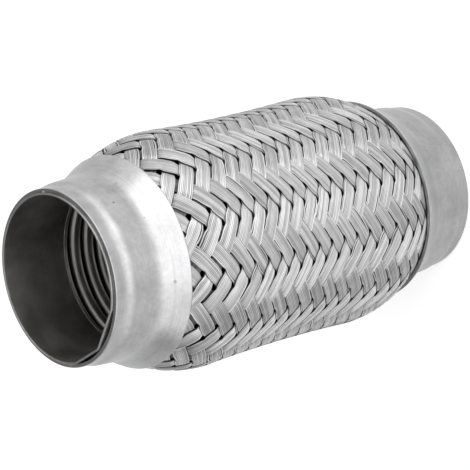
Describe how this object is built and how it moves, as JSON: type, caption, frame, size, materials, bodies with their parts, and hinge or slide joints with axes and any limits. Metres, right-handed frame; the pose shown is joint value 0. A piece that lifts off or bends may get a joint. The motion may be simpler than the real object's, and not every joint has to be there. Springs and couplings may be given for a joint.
{
  "type": "flexible exhaust connector pipe",
  "caption": "Flexible exhaust pipe section: a woven steel sleeve over a folded bellows, with a flared collar and a slip-in cuff at each end.",
  "frame": {"origin": "centre of the outlet end, on the plane it stands on", "axes": "+Z along the pipe's axis, from the outlet end up to the inlet end, which has the dented cuff; the dent is towards -X"},
  "size_m": [0.0754, 0.0754, 0.1524],
  "materials": {
    "collar_steel": "satin",
    "braid_steel": "satin",
    "bellows_steel": "satin",
    "weld_steel": "satin"
  },
  "bodies": {
    "root": {"inlet_collar": "collar_steel", "outlet_collar": "collar_steel", "outer_braid": "braid_steel", "bellows": "bellows_steel", "inlet_tack_welds": "weld_steel", "outlet_tack_welds": "weld_steel"}
  },
  "joints": []
}
